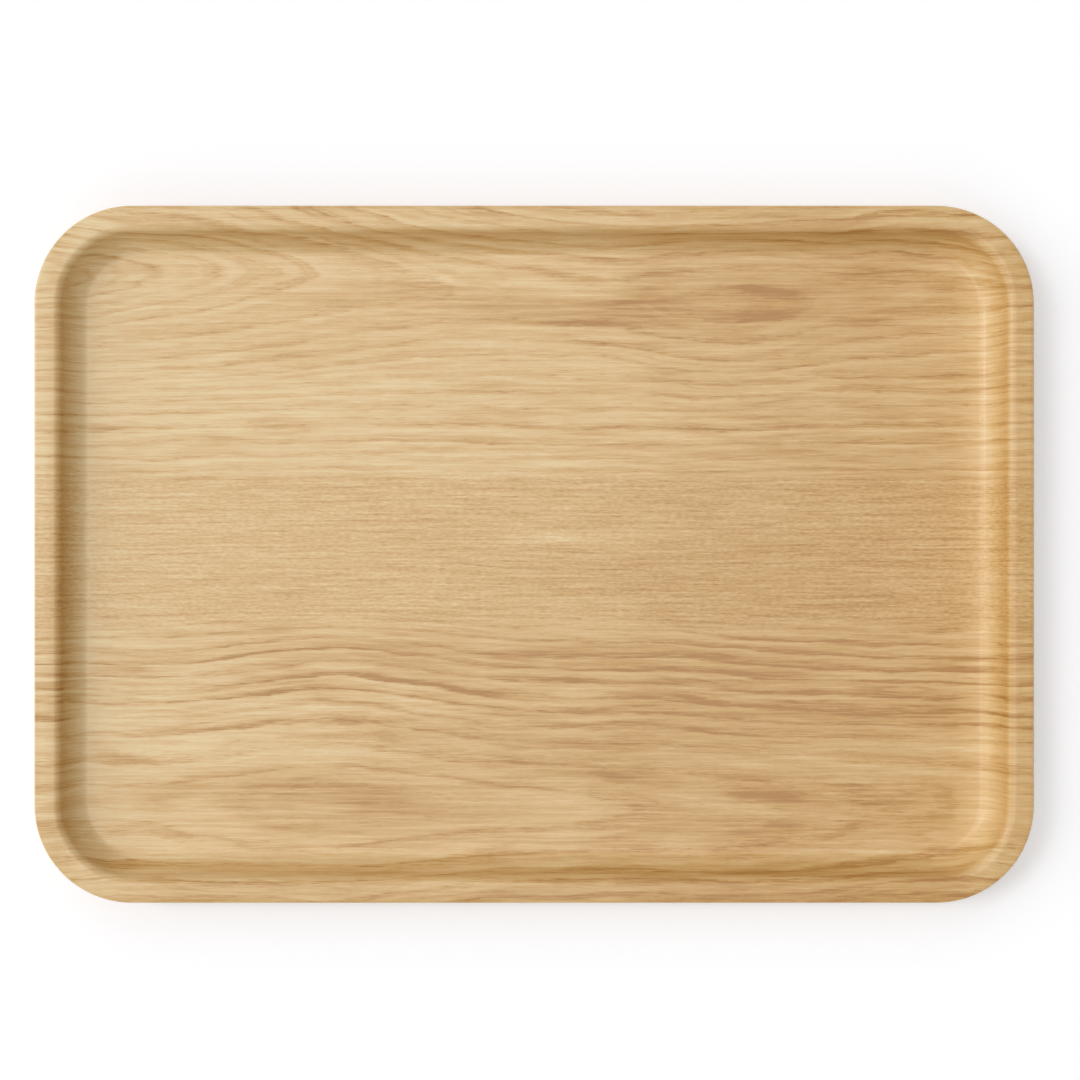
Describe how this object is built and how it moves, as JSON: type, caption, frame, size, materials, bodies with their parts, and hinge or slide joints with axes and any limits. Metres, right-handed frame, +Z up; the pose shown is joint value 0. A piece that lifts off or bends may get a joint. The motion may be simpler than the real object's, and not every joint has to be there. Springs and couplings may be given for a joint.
{
  "type": "serving tray",
  "caption": "Rectangular serving tray of moulded plywood with oak faces: flat base, rounded corners, raised cove wall and a narrow flat lip to hold it by.",
  "frame": {"origin": "centre of the underside, on the plane that the tray stands on", "axes": "+X along the tray's length, +Y across it, +Z up out of the serving face"},
  "size_m": [0.43, 0.3, 0.018],
  "materials": {
    "oak_face": "satin clear lacquer",
    "oak_back": "satin clear lacquer",
    "birch_long_grain": "sanded and lacquered",
    "birch_cross_grain": "sanded and lacquered"
  },
  "bodies": {
    "root": {"oak_face_veneer": "oak_face", "upper_crossband": "birch_cross_grain", "upper_core_veneer": "birch_long_grain", "centre_core_veneer": "birch_cross_grain", "lower_core_veneer": "birch_long_grain", "lower_crossband": "birch_cross_grain", "oak_back_veneer": "oak_back"}
  },
  "joints": []
}
